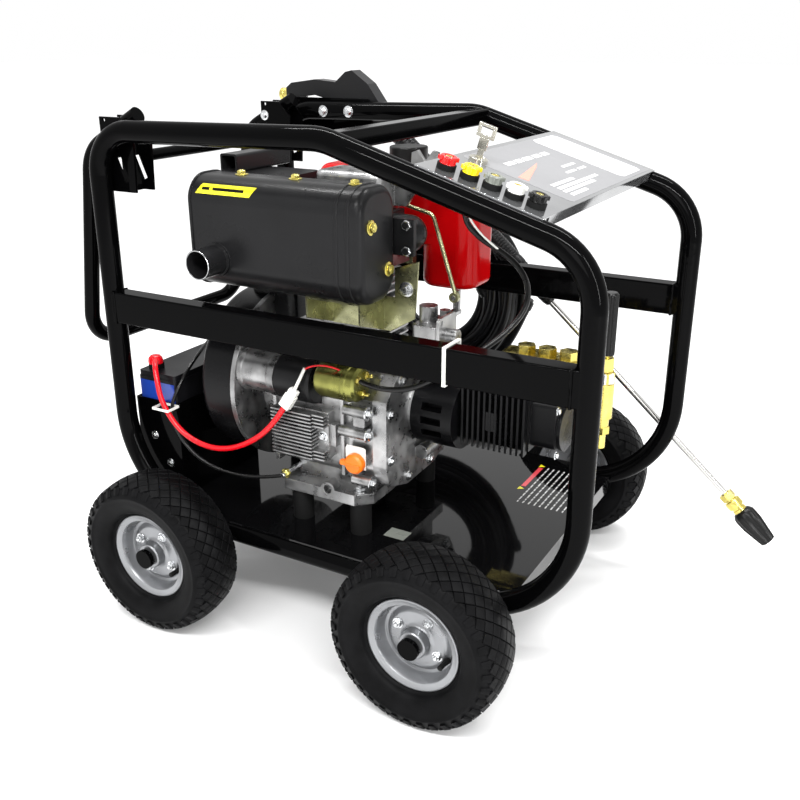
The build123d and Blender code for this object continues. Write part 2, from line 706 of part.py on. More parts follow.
def turbo_nozzle():
    start = along_lance(lance_length() + COUPLER_LENGTH)
    profile = [(0, 0), (12, 0), (20, 8), (20, 30), (14, TURBO_LENGTH), (0, TURBO_LENGTH)]
    return turned(profile, start, lance_direction())


def lance_holder():
    """Holster plate with two arms on the far top tube, and a rest on the far rail."""
    outer = LOOP_Y + TUBE_R
    body = rounded(box(-396, -206, outer, outer + 3, 730, 792), Axis.Y, 8)
    for x, z in ((-215, 740.0), (-388, 769.5)):
        arm = rod((x, outer + 1, z), (x, 292, z), 6)
        stop = rod((x, 289, z), (x, 292, z), 9)
        body = clean(body, arm, stop)
    rail_face = LOOP_Y + RAIL_DEPTH / 2
    on_line = LANCE_TOP[1] + (REST_X - LANCE_TOP[0]) * lance_direction().Z / lance_direction().X
    x, z = across_lance((REST_X, on_line), -(SLEEVE_R + 5.3))
    rest = rod((x, rail_face, z), (x, 289.5, z), 5)
    pad = rod((x, rail_face, z), (x, rail_face + 3, z), 10)
    stop = rod((x, 287, z), (x, 289.5, z), 7.5)
    return [body, clean(rest, pad, stop)]


# ---- hose, cables and their fittings ------------------------------------------------------
def hose_coil():
    x, z = COIL_AT
    y0, y1 = COIL_Y
    ring = pipe((x, y0, z), (x, y1, z), COIL_OUTER, COIL_INNER)
    return fillet(ring.edges().filter_by(GeomType.CIRCLE), 12)


def hose_hook():
    """Arm from the far rail that the hose hangs on."""
    x, z = COIL_AT
    top = z + COIL_INNER
    y0 = LOOP_Y + RAIL_DEPTH / 2
    arm = rod((x, y0, top - 9), (x, COIL_Y[1] + 8, top - 9), 8)
    plate = box(x - 22, x + 22, y0, y0 + 4, top - 34, top + 8)
    stop = rod((x, COIL_Y[1] + 4, top - 9), (x, COIL_Y[1] + 8, top - 9), 16)
    return clean(arm, plate, stop)


def route_radii(points):
    """Largest tangent arc at each inner point: 0.45 of the shorter run over tan(turn / 2)."""
    radii = []
    for before, here, after in zip(points, points[1:], points[2:]):
        first = Vector(*here) - Vector(*before)
        second = Vector(*after) - Vector(*here)
        turn = radians(first.get_angle(second))
        radii.append(0.45 * min(first.length, second.length) / tan(turn / 2))
    return radii


def cord(name, points, radius):
    radii = route_radii(points)
    path = FilletPolyline(*points, radius=radii)
    body = sweep(Plane(origin=path @ 0, z_dir=path % 0) * Circle(radius), path=path)
    section = pi * radius * radius
    print(name, "length", round(path.length), "radii", [round(r) for r in radii],
          "volume ratio", round(body.volume / (section * path.length), 4))
    return body


RED_R = 5.5
BLACK_R = 3.0
HARNESS_R = 4.0

RED_ROUTE = [(-366, -186, 398), (-350, -205, 400), (-335, -219, 374), (-322, -226, 340),
             (-288, -228, 300), (-240, -229, 283), (-188, -229, 287), (-138, -226, 311),
             (-100, -220, 345), (-80, -215, 378)]
BLACK_ROUTE = [(-365, -36, 396), (-338, -74, 411), (-313, -128, 408), (-302, -178, 390),
               (-302, -211, 360), (-313, -217, 327), (-303, -218, 290), (-270, -219, 258),
               (-229, -217, 241), (-183, -210, 235), (-140, -201, 238), (-110, -195, 246)]
HARNESS_ROUTE = [(167, -116, 699), (163, -115, 667), (186, -109, 641), (218, -110, 627),
                 (246, -116, 613), (268, -127, 592), (277, -147, 566), (265, -176, 539),
                 (243, -199, 518), (219, -211, 500), (192, -214, 480), (166, -215, 460),
                 (136, -215, 445), (103, -214, 437), (70, -211, 436), (46, -198, 434)]


def cable_fittings():
    """White plug and socket on the red cable, and two nylon ties."""
    plane = Plane(origin=(-80, -215, 378), z_dir=(20, 5, 33))
    plug = extrude(plane * RectangleRounded(18, 14, 2), 22)
    socket = extrude(plane.offset(22) * RectangleRounded(15, 12, 2), 10)
    tail = rod(plane.offset(30).origin, (-50, -201, 440), 2.5)
    pair = box(-334, -300, -237, -210.4, 331, 335)
    pair = pair - box(-332.5, -301.5, -235.5, -211.9, 330, 336)
    strap = box(204, 209, -252, -206, 473, 527) - box(203, 210, -250.5, -207.5, 475, 525)
    return [clean(plug, socket, tail), pair, strap]


def fasteners():
    """Plated bolts, nuts and screws."""
    bolts = []

    def hexes(points, direction, radius, height):
        step = Vector(*direction) * height
        for point in points:
            bolts.append(hexagon(point, tuple(Vector(*point) + step), radius))

    top = MUFFLER_Z[1]
    hexes([(-193, -143, top), (-94, -143, top), (10, -146, top)], (0, 0, 1), 6, 7)
    hexes([(MUFFLER_X[1], -163, 651), (MUFFLER_X[1], -116, 583)], (1, 0, 0), 7, 7)
    hexes([(x, y, FOOT_Z[1]) for x, y in MOUNT_POINTS if x > 0], (0, 0, 1), 8, 8)
    hexes([(-287, LOOP_Y - TUBE_R, 770.8), (-232, LOOP_Y - TUBE_R, 771.7)], (0, -1, 0), 8, 6)
    hexes([(-360, -210, 270), (-330, -210, 225)], (0, -1, 0), 6, 4)
    hexes([(62, -91, 549)], (0, -1, 0), 8, 6)
    hexes([(74, y, z) for y, z in ((-162, 300), (-162, 376), (-128, 418), (-30, 422),
                                   (44, 384), (48, 306), (-107, 253), (-35, 253), (28, 272))],
          (1, 0, 0), 6, 5)
    hexes([(48, -185, 380), (48, -185, 345), (48, -175, 262)], (1, 0, 0), 7, 6)
    hexes([(-104.5, -150, 249)], (0, -1, 0), 4.3, 50)
    return bolts


# ---- export -------------------------------------------------------------------------------
def bodies():
    nodes = {
        "side_frame_right": side_frame(-1),
        "side_frame_left": side_frame(1),
        "frame_cross_members": cross_members(),
        "base_tray": tray(),
        "battery_box": battery_box(),
        "battery": battery(),
        "axles": [axle(x) for x in WHEEL_X.values()],
        "pull_handle": pull_handle(),
        "engine_mounts": engine_mounts(),
        "crankcase": crankcase(),
        "timing_cover": timing_cover(),
        "cylinder": cylinder_block(),
        "rocker_cover": rocker_cover(),
        "fan_housing": fan_housing(),
        "starter_motor": starter_motor(),
        "voltage_regulator": voltage_regulator(),
        "injection_pump": injection_pump(),
        "muffler": muffler(),
        "engine_brackets": [muffler_bracket(), *tank_straps()],
        "exhaust_elbow": exhaust_elbow(),
        "air_cleaner": air_cleaner(),
        "fuel_tank": fuel_tank(),
        "fuel_cap": fuel_cap(),
        "oil_plug": oil_plug(),
        "speed_lever": speed_lever(),
        "coupling_housing": coupling_housing(),
        "pump_crankcase": pump_crankcase(),
        "pump_head": pump_head(),
        "unloader_valve": unloader_valve(),
        "unloader_knob": unloader_knob(),
        "control_panel": control_panel(),
        "nozzle_grommets": grommets(),
        "key_switch": key_switch(),
        "ignition_key": ignition_key(),
        "gun_body": gun_body(),
        "gun_trigger": gun_trigger(),
        "lance_sleeve": lance_sleeve(),
        "lance_tube": lance_tube(),
        "nozzle_coupler": nozzle_coupler(),
        "turbo_nozzle": turbo_nozzle(),
        "side_hooks": [*lance_holder(), hose_hook()],
        "hose_coil": hose_coil(),
        "battery_cable_red": cord("battery_cable_red", RED_ROUTE, RED_R),
        "battery_cable_black": cord("battery_cable_black", BLACK_ROUTE, BLACK_R),
        "harness_cable": cord("harness_cable", HARNESS_ROUTE, HARNESS_R),
        "cable_fittings": cable_fittings(),
        "fasteners": [*fasteners(), *handle_pins()],
    }
    for name, x in zip(NOZZLE_NAMES, NOZZLE_X):
        nodes["spare_nozzle_" + name] = spare_nozzle(x)
    return nodes


def wheels():
    nodes = {}
    for end, x in WHEEL_X.items():
        for hand, side in (("right", -1), ("left", 1)):
            nodes["tyre_" + end + "_" + hand] = tyre(x, side)
            nodes["rim_" + end + "_" + hand] = rim(x, side)
    return nodes


def main():
    os.makedirs("parts", exist_ok=True)
    nodes = bodies()
    nodes.update(wheels())
    for name, shape in nodes.items():
        pieces = shape if isinstance(shape, list) else [shape]
        solids = [solid for piece in pieces for solid in piece.solids()]
        moved = Compound(children=[Pos(-ORIGIN_X, 0, 0) * solid for solid in solids])
        export_step(moved, "parts/" + name + ".step")


main()
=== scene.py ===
import json
from math import atan, cos, pi, radians, sin, tau

import bmesh
import bpy
from mathutils import Matrix, Vector


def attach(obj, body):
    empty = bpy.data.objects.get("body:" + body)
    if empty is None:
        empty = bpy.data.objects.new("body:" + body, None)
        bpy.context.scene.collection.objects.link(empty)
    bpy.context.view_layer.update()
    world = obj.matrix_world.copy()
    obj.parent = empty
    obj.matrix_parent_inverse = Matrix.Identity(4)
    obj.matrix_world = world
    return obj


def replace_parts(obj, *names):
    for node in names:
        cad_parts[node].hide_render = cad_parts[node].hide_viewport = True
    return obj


# A diesel pressure washer on a tubular cart. Lengths below are in millimetres in the cart's own
# drawing frame (X from the middle of the side loops); place() turns them into the frame's metres.

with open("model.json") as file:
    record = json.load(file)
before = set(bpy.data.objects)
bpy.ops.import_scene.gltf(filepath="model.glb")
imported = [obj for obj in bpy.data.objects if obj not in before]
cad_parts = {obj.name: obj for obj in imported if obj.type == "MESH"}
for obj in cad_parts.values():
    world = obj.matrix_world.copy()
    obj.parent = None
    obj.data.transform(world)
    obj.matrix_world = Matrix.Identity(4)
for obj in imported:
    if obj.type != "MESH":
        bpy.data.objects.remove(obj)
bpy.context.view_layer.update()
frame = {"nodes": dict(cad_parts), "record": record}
NODES = frame["nodes"]
FINISHES = {}
# The frame's origin is under the middle of the whole machine, this far along the drawing's X.
ORIGIN_X = 36.73
ALONG_X, BACK_Y, UP_Z = (1, 0, 0), (0, -1, 0), (0, 0, 1)


def place(x, y, z):
    return Vector(((x - ORIGIN_X) / 1000, y / 1000, z / 1000))


def directions(axis):
    """Unit axis, and two unit directions across it."""
    axis = Vector(axis).normalized()
    across = axis.orthogonal().normalized()
    return axis, across, axis.cross(across)


def circle(centre, across, other, radius, steps, phase=0.0):
    """Points round centre, from across towards other."""
    angles = [phase + tau * i / steps for i in range(steps)]
    return [centre + radius * (cos(angle) * across + sin(angle) * other) for angle in angles]


def add_to_scene(item):
    bpy.context.scene.collection.objects.link(item)
    return item


# ---- camera -------------------------------------------------------------------------------
CAMERA_AT = (721.4, -1269.0, 900.35)
CAMERA_TURN = (0.51803, 0.37261, -0.00382)
LENS, SENSOR = 42.006, 36


def make_camera():
    """Camera from the front right corner; its turn is yaw, pitch and roll in radians."""
    yaw, pitch, roll = CAMERA_TURN
    ahead = Vector((-sin(yaw) * cos(pitch), cos(yaw) * cos(pitch), -sin(pitch)))
    right = Vector((cos(yaw), sin(yaw), 0))
    up = right.cross(ahead)
    right, up = cos(roll) * right + sin(roll) * up, cos(roll) * up - sin(roll) * right
    data = bpy.data.cameras.new("camera")
    data.lens = LENS
    data.sensor_width = SENSOR
    data.clip_start = 0.05
    camera = bpy.data.objects.new("camera", data)
    turn = Matrix((right, up, -ahead)).transposed().to_4x4()
    camera.matrix_world = Matrix.Translation(place(*CAMERA_AT)) @ turn
    bpy.context.scene.camera = add_to_scene(camera)


# ---- materials ----------------------------------------------------------------------------
class Finish:
    """One procedural material: patchy colour, varied roughness and a fine surface relief."""

    def __init__(self, name, colour, rough, metallic=0.0, coat=0.0, shine=0.5):
        self.material = bpy.data.materials.new(name)
        self.material.use_nodes = True
        self.tree = self.material.node_tree
        self.shader = self.tree.nodes["Principled BSDF"]
        self.colour = colour
        self.shader.inputs["Metallic"].default_value = metallic
        self.shader.inputs["Coat Weight"].default_value = coat
        self.shader.inputs["Coat Roughness"].default_value = 0.05
        self.shader.inputs["Specular IOR Level"].default_value = shine
        self.rough = rough
        self.coords = self.node("ShaderNodeTexCoord").outputs["Object"]
        self.normal = None

    def node(self, kind):
        return self.tree.nodes.new(kind)

    def link(self, output, target):
        self.tree.links.new(output, target)

    def noise(self, scale, detail=3.0):
        noise = self.node("ShaderNodeTexNoise")
        noise.inputs["Scale"].default_value = scale
        noise.inputs["Detail"].default_value = detail
        self.link(self.coords, noise.inputs["Vector"])
        return noise.outputs["Fac"]

    def spread(self, value, low, high, start=0.35, end=0.65):
        """The value's span from start to end, widened to low to high."""
        ranged = self.node("ShaderNodeMapRange")
        for name, limit in (("From Min", start), ("From Max", end), ("To Min", low),
                            ("To Max", high)):
            ranged.inputs[name].default_value = limit
        self.link(value, ranged.inputs["Value"])
        return ranged.outputs["Result"]

    def mix(self, factor, first, second):
        """Colour between two colours. The node's colour sockets are its inputs 6 and 7."""
        mix = self.node("ShaderNodeMix")
        mix.data_type = "RGBA"
        mix.inputs[6].default_value = (*first, 1)
        mix.inputs[7].default_value = (*second, 1)
        self.link(factor, mix.inputs[0])
        return mix.outputs[2]

    def patches(self, scale, amount):
        """Large soft changes of shade."""
        dark = tuple(c * (1 - amount) for c in self.colour)
        light = tuple(min(1, c * (1 + amount)) for c in self.colour)
        shade = self.mix(self.spread(self.noise(scale), 0, 1), dark, light)
        self.link(shade, self.shader.inputs["Base Color"])
        return self

    def sheen_spots(self, scale, amount):
        """Roughness that wanders about its mean."""
        value = self.spread(self.noise(scale, 5), self.rough - amount, self.rough + amount)
        self.link(value, self.shader.inputs["Roughness"])
        return self

    def relief(self, scale, depth):
        """Fine bump; depth in metres."""
        bump = self.node("ShaderNodeBump")
        bump.inputs["Strength"].default_value = 1.0
        bump.inputs["Distance"].default_value = depth
        self.link(self.noise(scale, 2.0), bump.inputs["Height"])
        if self.normal:
            self.link(self.normal, bump.inputs["Normal"])
        self.normal = bump.outputs["Normal"]
        self.link(self.normal, self.shader.inputs["Normal"])
        return self

    def soft_edges(self, radius):
        """Rounds the shading of sharp edges."""
        bevel = self.node("ShaderNodeBevel")
        bevel.samples = 4
        bevel.inputs["Radius"].default_value = radius
        self.normal = bevel.outputs["Normal"]
        self.link(self.normal, self.shader.inputs["Normal"])
        return self


def make_finishes():
    made = {}

    def add(name, colour, rough, metallic=0.0, coat=0.0, patch=(9, 0.12), spots=(14, 0.04),
            grain=(500, 0.00004), edge=0.0008, shine=0.4):
        finish = Finish(name, colour, rough, metallic, coat, shine)
        if edge:
            finish.soft_edges(edge)
        finish.patches(*patch).sheen_spots(*spots).relief(*grain)
        made[name] = finish.material
        return finish

    add("frame_black", (0.0008, 0.0008, 0.0009), 0.1, coat=0.07, grain=(220, 0.00002), shine=0.014)
    add("tray_black", (0.002, 0.002, 0.0022), 0.05, coat=0.2, spots=(10, 0.015),
        grain=(60, 0.00002), shine=0.2)
    add("satin_black", (0.008, 0.008, 0.0085), 0.3, grain=(900, 0.00005), edge=0.0015, shine=0.16)
    add("shroud_black", (0.004, 0.004, 0.0045), 0.28, edge=0.0015, shine=0.14)
    add("engine_alloy", (0.33, 0.33, 0.33), 0.32, metallic=0.95, patch=(30, 0.35),
        spots=(60, 0.08), grain=(700, 0.00007), edge=0.0015)
    add("zinc_plate", (0.30, 0.30, 0.17), 0.28, metallic=0.95, patch=(35, 0.3), spots=(50, 0.08))
    add("zinc_bolt", (0.70, 0.60, 0.16), 0.26, metallic=0.95, patch=(80, 0.2), edge=0.0004)
    add("solenoid_gold", (0.22, 0.22, 0.06), 0.3, metallic=0.95, patch=(30, 0.3),
        spots=(50, 0.08))
    add("bolt_steel", (0.60, 0.61, 0.62), 0.22, metallic=1.0, patch=(90, 0.2), edge=0.0004)
    add("tank_red", (0.36, 0.001, 0.002), 0.14, coat=0.1, grain=(90, 0.00003), edge=0.001, shine=0.08)
    add("cap_black", (0.006, 0.006, 0.006), 0.32, edge=0.001, shine=0.2)
    add("mount_rubber", (0.006, 0.006, 0.006), 0.6, edge=0.0006, shine=0.1)
    add("tyre_rubber", (0.003, 0.003, 0.0033), 0.5, patch=(40, 0.3), grain=(1200, 0.00012),
        edge=0, shine=0.06)
    add("rim_silver", (0.27, 0.275, 0.285), 0.3, metallic=0.85, grain=(900, 0.00003), edge=0.0015)
    add("battery_case", (0.005, 0.005, 0.006), 0.35, shine=0.15)
    add("panel_grey", (0.30, 0.305, 0.31), 0.07, metallic=0.85, coat=0.2, spots=(8, 0.012),
        grain=(60, 0.00001), shine=0.4)
    add("print_grey", (0.20, 0.20, 0.205), 0.4, patch=(12, 0.03), edge=0, shine=0.15)
    add("print_white", (0.62, 0.62, 0.62), 0.3, patch=(20, 0.02), edge=0)
    add("print_orange", (0.80, 0.22, 0.15), 0.15, coat=0.4, patch=(20, 0.05), edge=0)
    add("print_yellow", (0.80, 0.72, 0.02), 0.2, coat=0.3, patch=(20, 0.05), edge=0)
    add("print_pink", (0.75, 0.06, 0.08), 0.2, coat=0.3, patch=(20, 0.05), edge=0)
    add("label_blue", (0.01, 0.04, 0.28), 0.2, coat=0.3, patch=(20, 0.05), edge=0)
    add("pump_black", (0.003, 0.003, 0.0034), 0.3, grain=(700, 0.0001), edge=0.0012, shine=0.14)
    add("brass", (0.66, 0.55, 0.15), 0.24, metallic=1.0, patch=(60, 0.15), spots=(70, 0.08))
    add("knob_black", (0.004, 0.004, 0.004), 0.28, shine=0.2)
    add("key_nickel", (0.60, 0.58, 0.50), 0.2, metallic=1.0, edge=0.0004)
    add("cap_red", (0.62, 0.01, 0.01), 0.22, edge=0.0005)
    add("cap_yellow", (0.85, 0.62, 0.01), 0.22, edge=0.0005)
    add("cap_grey", (0.16, 0.17, 0.15), 0.28, edge=0.0005)
    add("cap_white", (0.80, 0.80, 0.76), 0.22, edge=0.0005)
    add("plug_orange", (0.88, 0.17, 0.004), 0.32)
    add("gun_black", (0.007, 0.007, 0.0075), 0.34, grain=(900, 0.00008), edge=0.0012, shine=0.2)
    add("stainless", (0.62, 0.61, 0.59), 0.16, metallic=1.0, edge=0)
    add("hose_black", (0.003, 0.003, 0.0035), 0.3, patch=(25, 0.3), edge=0, shine=0.2)
    add("cable_red", (0.62, 0.002, 0.008), 0.26, patch=(60, 0.15), edge=0)
    add("cable_black", (0.003, 0.003, 0.003), 0.26, patch=(60, 0.15), edge=0, shine=0.3)
    add("nylon_white", (0.72, 0.72, 0.68), 0.35, edge=0.0004)
    return made


def dress_nodes():
    """Gives every CAD node its finish, and rounds the soft castings and mouldings."""
    slots = {part["node"]: part["material_slot"] for part in frame["record"]["subparts"]}
    for name, node in NODES.items():
        node.data.materials.clear()
        node.data.materials.append(FINISHES[slots[name]])
        node.data.set_sharp_from_angle(angle=radians(28))
    NODES["gun_body"].data.set_sharp_from_angle(angle=radians(60))
    for name, width in (("gun_body", 5), ("fuel_cap", 1.5), ("rocker_cover", 1), ("crankcase", 1)):
        rounding = NODES[name].modifiers.new("rounding", "BEVEL")
        rounding.width = width / 1000
        rounding.segments = 3
        rounding.limit_method = "ANGLE"
        rounding.angle_limit = radians(25)


# ---- cords --------------------------------------------------------------------------------
def spline_piece(name, points, radius, slot):
    """Round cord on the cart along a row of points, whose radius gives its thickness."""
    curve = bpy.data.curves.new(name, "CURVE")
    curve.dimensions = "3D"
    curve.bevel_depth = 1.0
    curve.bevel_resolution = 6
    curve.resolution_u = 12
    curve.use_fill_caps = True
    spline = curve.splines.new("NURBS")
    spline.points.add(len(points) - 1)
    for point, target in zip(spline.points, points):
        point.co = (*place(*target), 1)
        point.radius = radius / 1000
    spline.order_u = 3
    spline.use_endpoint_u = True
    curve.materials.append(FINISHES[slot])
    piece = add_to_scene(bpy.data.objects.new(name, curve))
    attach(piece, "cart")
    return piece


RED_ROUTE = [(-366, -186, 398), (-350, -205, 400), (-335, -219, 374), (-322, -226, 340),
             (-288, -228, 300), (-240, -229, 283), (-188, -229, 287), (-138, -226, 311),
             (-100, -220, 345), (-80, -215, 378)]
BLACK_ROUTE = [(-365, -36, 396), (-338, -74, 411), (-313, -128, 408), (-302, -178, 390),
               (-302, -211, 360), (-313, -217, 327), (-303, -218, 290), (-270, -219, 258),
               (-229, -217, 241), (-183, -210, 235), (-140, -201, 238), (-110, -195, 246)]
HARNESS_ROUTE = [(167, -116, 699), (163, -115, 667), (186, -109, 641), (218, -110, 627),
                 (246, -116, 613), (268, -127, 592), (277, -147, 566), (265, -176, 539),
                 (243, -199, 518), (219, -211, 500), (192, -214, 480), (166, -215, 460),
                 (136, -215, 445), (103, -214, 437), (70, -211, 436), (46, -198, 434)]


def length_of(piece):
    """Length in metres of a spline piece's own line."""
    data = piece.data
    depth, data.bevel_depth = data.bevel_depth, 0
    line = bpy.data.meshes.new_from_object(piece)
    data.bevel_depth = depth
    points = [vertex.co for vertex in line.vertices]
    return sum((b - a).length for a, b in zip(points, points[1:]))


def make_cables():
    for name, route, radius, slot in (("battery_cable_red", RED_ROUTE, 4.4, "cable_red"),
                                      ("battery_cable_black", BLACK_ROUTE, 3.0, "cable_black"),
                                      ("harness_cable", HARNESS_ROUTE, 4.0, "cable_black")):
        piece = spline_piece("look_" + name, route, radius, slot)
        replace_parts(piece, name)
        length_of(piece)


# The coil hangs flat in an X-Z plane about this centre, in layers that each have three rows.
COIL_AT = (-92.0, 437.0)
COIL_TURNS, COIL_LAYERS, COIL_ROWS = 16, 6, 3
COIL_INNER_R, COIL_FIRST_Y = 96, 298.6
LAYER_PITCH, ROW_PITCH = 15.8, 16.3
POINTS_PER_TURN, CROSSING_POINTS = 14, 4
HOSE_R = 8.0


def coil_points():
    """Turns of the hose, laid beside and over each other between the coil's faces."""
    turns = []
    for layer in range(COIL_LAYERS):
        for row in range(COIL_ROWS):
            across = row if layer % 2 == 0 else COIL_ROWS - 1 - row
            turns.append((COIL_INNER_R + LAYER_PITCH * layer, COIL_FIRST_Y + ROW_PITCH * across))
    turns = turns[:COIL_TURNS]
    points = []
    for (radius, y), (next_radius, next_y) in zip(turns, turns[1:] + turns[-1:]):
        for step in range(POINTS_PER_TURN):
            angle = tau * step / POINTS_PER_TURN + 0.3
            share = max(0.0, (step - POINTS_PER_TURN + CROSSING_POINTS) / CROSSING_POINTS)
            reach = radius + (next_radius - radius) * share
            points.append((COIL_AT[0] + reach * cos(angle), y + (next_y - y) * share,
                           COIL_AT[1] + reach * sin(angle)))
    return points


def hose_coupling(name, end, before):
    """Black crimped union on one end of the hose."""
    along = (Vector(end) - Vector(before)).normalized()
    union = Piece(name, "knob_black")
    union.turned(Vector(end) - along * 2, along, [(0, 8.5), (10, 8.5), (10.5, 10.5), (24, 10.5),
                                                  (24.5, 8), (30, 8)], 24)
    return union.make()


def make_hose():
    points = coil_points()
    hose = spline_piece("look_hose_coil", points, HOSE_R, "hose_black")
    unions = [hose_coupling("hose_union_inner", points[0], points[1]),
              hose_coupling("hose_union_outer", points[-1], points[-2])]
    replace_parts(hose, "hose_coil")
    length_of(hose)


# ---- mesh building ------------------------------------------------------------------------
class Piece:
    """Gathers simple solids, in drawing millimetres, into one mesh that rides a body."""

    def __init__(self, name, finish, body="cart", bevel=0.0, sharp=32):
        self.name, self.finish, self.body = name, finish, body
        self.bevel, self.sharp = bevel, sharp
        self.points, self.faces = [], []

    def add(self, points, faces):
        start = len(self.points)
        self.points += [tuple(point) for point in points]
        self.faces += [tuple(start + index for index in face) for face in faces]
        return self

    def rings(self, rings, closed=False):
        """Skin over a row of equally long rings of points, with end caps unless it is closed."""
        count = len(rings[0])
        points = [point for ring in rings for point in ring]
        faces = []
        rows = len(rings) if closed else len(rings) - 1
        for row in range(rows):
            here, there = row * count, (row + 1) % len(rings) * count
            for i in range(count):
                j = (i + 1) % count
                faces.append((here + i, here + j, there + j, there + i))
        if not closed:
            faces.append(tuple(reversed(range(count))))
            faces.append(tuple(range((len(rings) - 1) * count, len(rings) * count)))
        return self.add(points, faces)

    def turned(self, start, axis, profile, steps=32, phase=0.0):
        """Solid of revolution; profile is a list of (distance along the axis, radius)."""
        start = Vector(start)
        axis, across, other = directions(axis)
        return self.rings([circle(start + axis * along, across, other, radius, steps, phase)
                           for along, radius in profile])

    def hexagon(self, start, axis, radius, height, phase=0.0):
        return self.turned(start, axis, [(0, radius), (height * 0.8, radius),
                                         (height, radius * 0.86)], 6, phase)

    def bolt(self, start, axis, size=7.0, phase=0.3):
        """Flanged hexagon head with a dished top."""
        start, axis = Vector(start), Vector(axis).normalized()
        self.turned(start, axis, [(0, size * 1.45), (size * 0.16, size * 1.45),
                                  (size * 0.24, size * 1.2)], 24)
        self.hexagon(start + axis * size * 0.2, axis, size, size * 0.72, phase)
        return self.turned(start + axis * size * 0.9, axis,
                           [(0, size * 0.62), (size * 0.12, size * 0.55)], 16)

    def block(self, low, high):
        (a, b, c), (d, e, f) = low, high
        points = [(x, y, z) for x in (a, d) for y in (b, e) for z in (c, f)]
        return self.add(points, [(0, 1, 3, 2), (4, 6, 7, 5), (0, 4, 5, 1), (2, 3, 7, 6),
                                 (0, 2, 6, 4), (1, 5, 7, 3)])

    def prism(self, outline, lift):
        """Outline of 3-D points pushed along lift."""
        lift = Vector(lift)
        low = [Vector(point) for point in outline]
        high = [point + lift for point in low]
        count = len(low)
        sides = [(i, (i + 1) % count, count + (i + 1) % count, count + i) for i in range(count)]
        return self.add(low + high, sides + [tuple(reversed(range(count))),
                                             tuple(range(count, 2 * count))])

    def bar(self, points, radius, steps=12, closed=False):
        """Round bar through a row of points."""
        points = [Vector(point) for point in points]
        rings = []
        side = None
        for i, point in enumerate(points):
            before = points[i - 1] if i or closed else point
            after = points[(i + 1) % len(points)] if i < len(points) - 1 or closed else point
            ahead = (after - before).normalized()
            side = ahead.orthogonal() if side is None else side - side.dot(ahead) * ahead
            side.normalize()
            other = ahead.cross(side)
            rings.append(circle(point, side, other, radius, steps))
        return self.rings(rings, closed=closed)

    def loop(self, centre, axis, radius, thickness, steps=40):
        """Ring of round section."""
        across, other = directions(axis)[1:]
        return self.bar(circle(Vector(centre), across, other, radius, steps), thickness, 8,
                        closed=True)

    def spun(self, profile, steps=64):
        """Closed profile of (Y, radius) turned about the Y axis."""
        rings = [[(radius * cos(tau * i / steps), y, radius * sin(tau * i / steps))
                  for i in range(steps)] for y, radius in profile]
        return self.rings(rings, closed=True)

    def mesh(self, shift=(0, 0, 0)):
        mesh = bpy.data.meshes.new(self.name)
        mesh.from_pydata([(Vector(point) + Vector(shift)) / 1000 for point in self.points], [],
                         self.faces)
        mesh.materials.append(FINISHES[self.finish])
        build = bmesh.new()
        build.from_mesh(mesh)
        bmesh.ops.recalc_face_normals(build, faces=build.faces)
        build.to_mesh(mesh)
        build.free()
        mesh.shade_smooth()
        mesh.set_sharp_from_angle(angle=radians(self.sharp))
        return mesh

    def make(self):
        piece = add_to_scene(bpy.data.objects.new(self.name, self.mesh((-ORIGIN_X, 0, 0))))
        if self.bevel:
            rounding = piece.modifiers.new("rounding", "BEVEL")
            rounding.width = self.bevel / 1000
            rounding.segments = 2
            rounding.limit_method = "ANGLE"
            rounding.angle_limit = radians(40)
            rounding.harden_normals = True
        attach(piece, self.body)
        return piece


# ---- wheels -------------------------------------------------------------------------------
WHEELS = {"rear_right": (-266, -1), "rear_left": (-266, 1), "front_right": (211, -1),
          "front_left": (211, 1)}
WHEEL_Y, WHEEL_R = 317, 130
TREAD_COUNT = 36
CROWN_HALF, CROWN_DROP = 31, 3.6
SHOULDER_LENGTH, SHOULDER_DROP, SHOULDER_REACH = 24, 15, 14


def crown(s):
    """Radius, Y and outward direction of the tyre's tread, s mm round from its middle."""
    side = 1 if s >= 0 else -1
    s = abs(s)
    if s < CROWN_HALF:
        share = s / CROWN_HALF
        return WHEEL_R - CROWN_DROP * share ** 2, side * s, 0.98, side * 0.2 * share
    angle = min(1.0, (s - CROWN_HALF) / SHOULDER_LENGTH) * pi / 2
    return (WHEEL_R - CROWN_DROP - SHOULDER_DROP * (1 - cos(angle)),
            side * (CROWN_HALF + SHOULDER_REACH * sin(angle)), cos(angle), side * sin(angle))


def on_tyre(turn, s, lift):
    radius, y, out, over = crown(s)
    radius, y = radius + lift * out, y + lift * over
    return radius * cos(turn), y, radius * sin(turn)


def tread_block(tyre, middle, s, half_turn, half_wide):
    corners = [(-1, 0), (0, -1), (1, 0), (0, 1)]
    rows = []
    for share, lift in ((1.0, -3.0), (1.0, -0.6), (0.92, 0.0)):
        rows.append([on_tyre(middle + share * a * half_turn,
                             max(-43, min(43, s + share * b * half_wide)), lift)
                     for a, b in corners])
    tyre.rings(rows)


def shoulder_lug(tyre, middle, side, half_turn):
    rows = []
    for share, lift in ((1.0, -3.0), (1.0, -0.5), (0.9, 0.0)):
        rows.append([on_tyre(middle + share * a * half_turn, side * s, lift)
                     for a, s in ((-1, 40), (1, 40), (0.8, 53), (-0.8, 53))])
    tyre.rings(rows)


